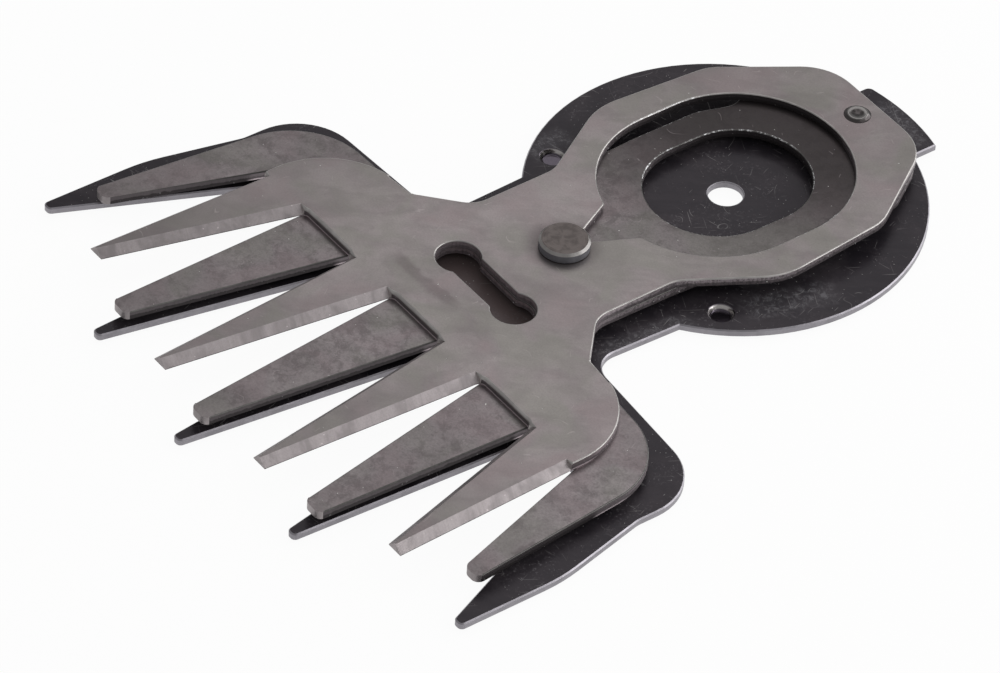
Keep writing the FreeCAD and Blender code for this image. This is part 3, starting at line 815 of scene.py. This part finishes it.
class BLADESET_OT_blades(bpy.types.Operator):
    """Dress the lower and the upper blade, and the pip behind the upper blade's opening."""
    bl_idname = "bladeset.blades"
    bl_label = "Blades"

    def execute(self, context):
        settings = context.scene.blade_set
        colours = settings.colours
        bevel = ground_bevel("ground_bevel", colours.ground_steel)
        dull = worn_rim("lower_blade_rim", scaled(colours.worn_rim, 0.26), bright_marks=0.7)
        bright = worn_rim("upper_blade_rim", colours.worn_rim, bright_marks=0.8)
        # Painted highlight: the run-out facets at the roots get a near-white finish
        run_out = worn_rim("bevel_run_out_painted_highlight", scaled(colours.worn_rim, 2.0))
        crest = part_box("upper_blade")[1].z
        # A dark pip with a painted highlight round its crest
        press = pressed_metal("blade_press", scaled(colours.upper_steel, 0.28),
                              scaled(colours.worn_rim, 0.38),
                              crest - PIP_HIGHLIGHT_BELOW, crest + PIP_HIGHLIGHT_ABOVE)
        low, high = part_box("pivot_rivet")
        axis = (low + high) / 2
        smudge = level_mark(-5.0, -54.6, 4, 9.0, 1.5, bow=-0.9)
        lower = tempered_steel("lower_blade_steel", colours.lower_steel, colours.temper_stain,
                               blotch=2.4 * MM, mottle=0.48, painted_rear_shade=0.92, axis=axis)
        upper = tempered_steel("upper_blade_steel", colours.upper_steel, colours.temper_stain,
                               blotch=8.0 * MM, mottle=0.10, painted_rear_shade=0.10, axis=axis, smudges=[smudge])
        for node, face, rim in (("lower_blade", lower, dull), ("upper_blade", upper, bright)):
            mesh = merged_copy(node)
            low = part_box(node)[0]
            wall = sheared_wall(node + "_edge", colours.sheared_edge, low.z, sheet_top(mesh))
            dress_sheet(mesh, low.y + TOOTH_REACH, settings.sizes)
            finishes = [face, wall, bevel, rim, press, run_out]
            as_piece(mesh, node + "_sheet", finishes, node, [node])
        return {"FINISHED"}


class BLADESET_OT_pivot(bpy.types.Operator):
    """Turn the rivet and finish the washer under the blades."""
    bl_idname = "bladeset.pivot"
    bl_label = "Pivot"

    def execute(self, context):
        settings = context.scene.blade_set
        sizes = settings.sizes
        low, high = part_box("pivot_rivet")
        middle = (low + high) / 2
        radius = (high.x - low.x) / 2
        chamfer = sizes.head_chamfer
        lower_chamfer = chamfer * LOWER_CHAMFER_SHARE
        head = high.z - sizes.head_height
        steel = turned_steel("rivet_steel", settings.colours.rivet_steel, middle)
        profile = [
            (0.0, low.z),
            (sizes.shank_radius * TAIL_SHARE, low.z),
            (sizes.shank_radius, low.z + sizes.head_height),
            (sizes.shank_radius, head),
            (radius - lower_chamfer, head),
            (radius, head + lower_chamfer),
            (radius, high.z - chamfer),
            (radius - chamfer, high.z),
            (0.0, high.z),
        ]
        mesh = bmesh.new()
        lathe(mesh, profile, middle, RIVET_SPIN)
        bmesh.ops.recalc_face_normals(mesh, faces=mesh.faces)
        for face in mesh.faces:
            face.material_index = finish_of(face, RIM)
        rim = worn_rim("rivet_rim", scaled(settings.colours.worn_rim, 0.7))
        # Painted reflection: a bright bluish finish on the rivet's wall
        wall = worn_rim("rivet_wall_painted_reflection", warmed(settings.colours.worn_rim, 0.95, 1.02, 1.15))
        as_piece(mesh, "turned_rivet", [steel, wall, steel, rim], "guard", ["pivot_rivet"])
        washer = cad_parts["spacer_washer"].data.materials
        washer.clear()
        washer.append(steel)
        return {"FINISHED"}


class BLADESET_OT_stage(bpy.types.Operator):
    """Set up the floor, the light and the camera."""
    bl_idname = "bladeset.stage"
    bl_label = "Stage"

    def execute(self, context):
        stage = context.scene.blade_set.stage
        self.make_floor(stage)
        self.make_world(context.scene)
        self.make_lamps(stage)
        self.make_camera(context.scene, stage)
        context.scene.view_settings.view_transform = "Standard"
        return {"FINISHED"}

    def make_floor(self, stage):
        """A pale floor that the camera sees as white, with a faint shadow kept."""
        mesh = bmesh.new()
        bmesh.ops.create_grid(mesh, x_segments=1, y_segments=1, size=stage.floor_size)
        data = bpy.data.meshes.new("floor")
        mesh.to_mesh(data)
        mesh.free()
        floor = bpy.data.objects.new("floor", data)
        floor.location.z = CAD_BOX[0].z
        bpy.context.scene.collection.objects.link(floor)
        finish = Finish("white_floor")
        finish.set(Base_Color=FLOOR_GREY, Roughness=FLOOR_ROUGHNESS)
        path = finish.node("ShaderNodeLightPath", {}, {})
        glow = finish.node("ShaderNodeEmission", {}, {"Color": WHITE, "Strength": 1.0})
        seen = Value(finish, path.outputs["Is Camera Ray"]) + Value(finish, path.outputs["Is Glossy Ray"])
        shaders = {0: seen * FLOOR_GLOW, 1: finish.shader.outputs[0], 2: glow.outputs[0]}
        blend = finish.node("ShaderNodeMixShader", {}, shaders)
        finish.feed(finish.output.inputs["Surface"], blend.outputs[0])
        data.materials.append(finish.material)

    def make_world(self, scene):
        """Even grey light from all round."""
        world = bpy.data.worlds.new("studio")
        world.use_nodes = True
        background = world.node_tree.nodes["Background"]
        background.inputs["Color"].default_value = WHITE
        background.inputs["Strength"].default_value = WORLD_STRENGTH
        scene.world = world

    def make_lamps(self, stage):
        """Soft boxes: a wide one beyond the disc, a small one high at the back and a fill on the right."""
        target = Vector(stage.target)
        for name, offset, width, height, power in LAMPS:
            lamp = bpy.data.lights.new(name, "AREA")
            lamp.shape = "RECTANGLE"
            lamp.size = width
            lamp.size_y = height
            lamp.energy = power
            piece = bpy.data.objects.new(name, lamp)
            piece.location = target + offset
            piece.rotation_euler = (-offset).to_track_quat("-Z", "Y").to_euler()
            bpy.context.scene.collection.objects.link(piece)

    def camera_axes(self, stage):
        """The camera's right, up and backward directions."""
        back = Vector((
            math.sin(stage.azimuth) * math.cos(stage.elevation),
            -math.cos(stage.azimuth) * math.cos(stage.elevation),
            math.sin(stage.elevation),
        ))
        level = Vector((math.cos(stage.azimuth), math.sin(stage.azimuth), 0.0))
        turn = Matrix.Rotation(stage.roll, 3, back)
        right = turn @ level
        return right, back.cross(right), back

    def make_camera(self, scene, stage):
        """A long lens that looks down at the set as in the photograph."""
        right, up, back = self.camera_axes(stage)
        lens = bpy.data.cameras.new("camera")
        lens.sensor_fit = "HORIZONTAL"
        lens.sensor_width = SENSOR_WIDTH
        lens.lens = stage.lens
        lens.clip_start = CLIP_START
        camera = bpy.data.objects.new("camera", lens)
        place = Matrix((right, up, back)).transposed().to_4x4()
        place.translation = Vector(stage.target) + back * stage.distance
        camera.matrix_world = place
        scene.collection.objects.link(camera)
        scene.camera = camera


class BladeSet(bpy.types.PropertyGroup):
    """All settings of the blade set."""
    sizes: PointerProperty(type=BladeSetSizes)
    colours: PointerProperty(type=BladeSetColours)
    stage: PointerProperty(type=BladeSetStage)


class BLADESET_PT_sidebar(bpy.types.Panel):
    """Lists the steps that dress the blade set."""
    bl_label = "Blade Set"
    bl_idname = "BLADESET_PT_sidebar"
    bl_space_type = "VIEW_3D"
    bl_region_type = "UI"
    bl_category = "Blade Set"

    def draw(self, context):
        for step in STEPS:
            self.layout.operator(step.bl_idname)
        for group in ("sizes", "colours", "stage"):
            settings = getattr(context.scene.blade_set, group)
            for name in settings.__annotations__:
                self.layout.prop(settings, name)


STEPS = (BLADESET_OT_guard, BLADESET_OT_blades, BLADESET_OT_pivot, BLADESET_OT_stage)
CLASSES = (BladeSetSizes, BladeSetColours, BladeSetStage, BladeSet, *STEPS, BLADESET_PT_sidebar)


def register():
    for group in CLASSES:
        bpy.utils.register_class(group)
    bpy.types.Scene.blade_set = PointerProperty(type=BladeSet)


def unregister():
    del bpy.types.Scene.blade_set
    for group in reversed(CLASSES):
        bpy.utils.unregister_class(group)


def main():
    register()
    bpy.ops.bladeset.guard()
    bpy.ops.bladeset.blades()
    bpy.ops.bladeset.pivot()
    bpy.ops.bladeset.stage()


if __name__ == "__main__":
    main()
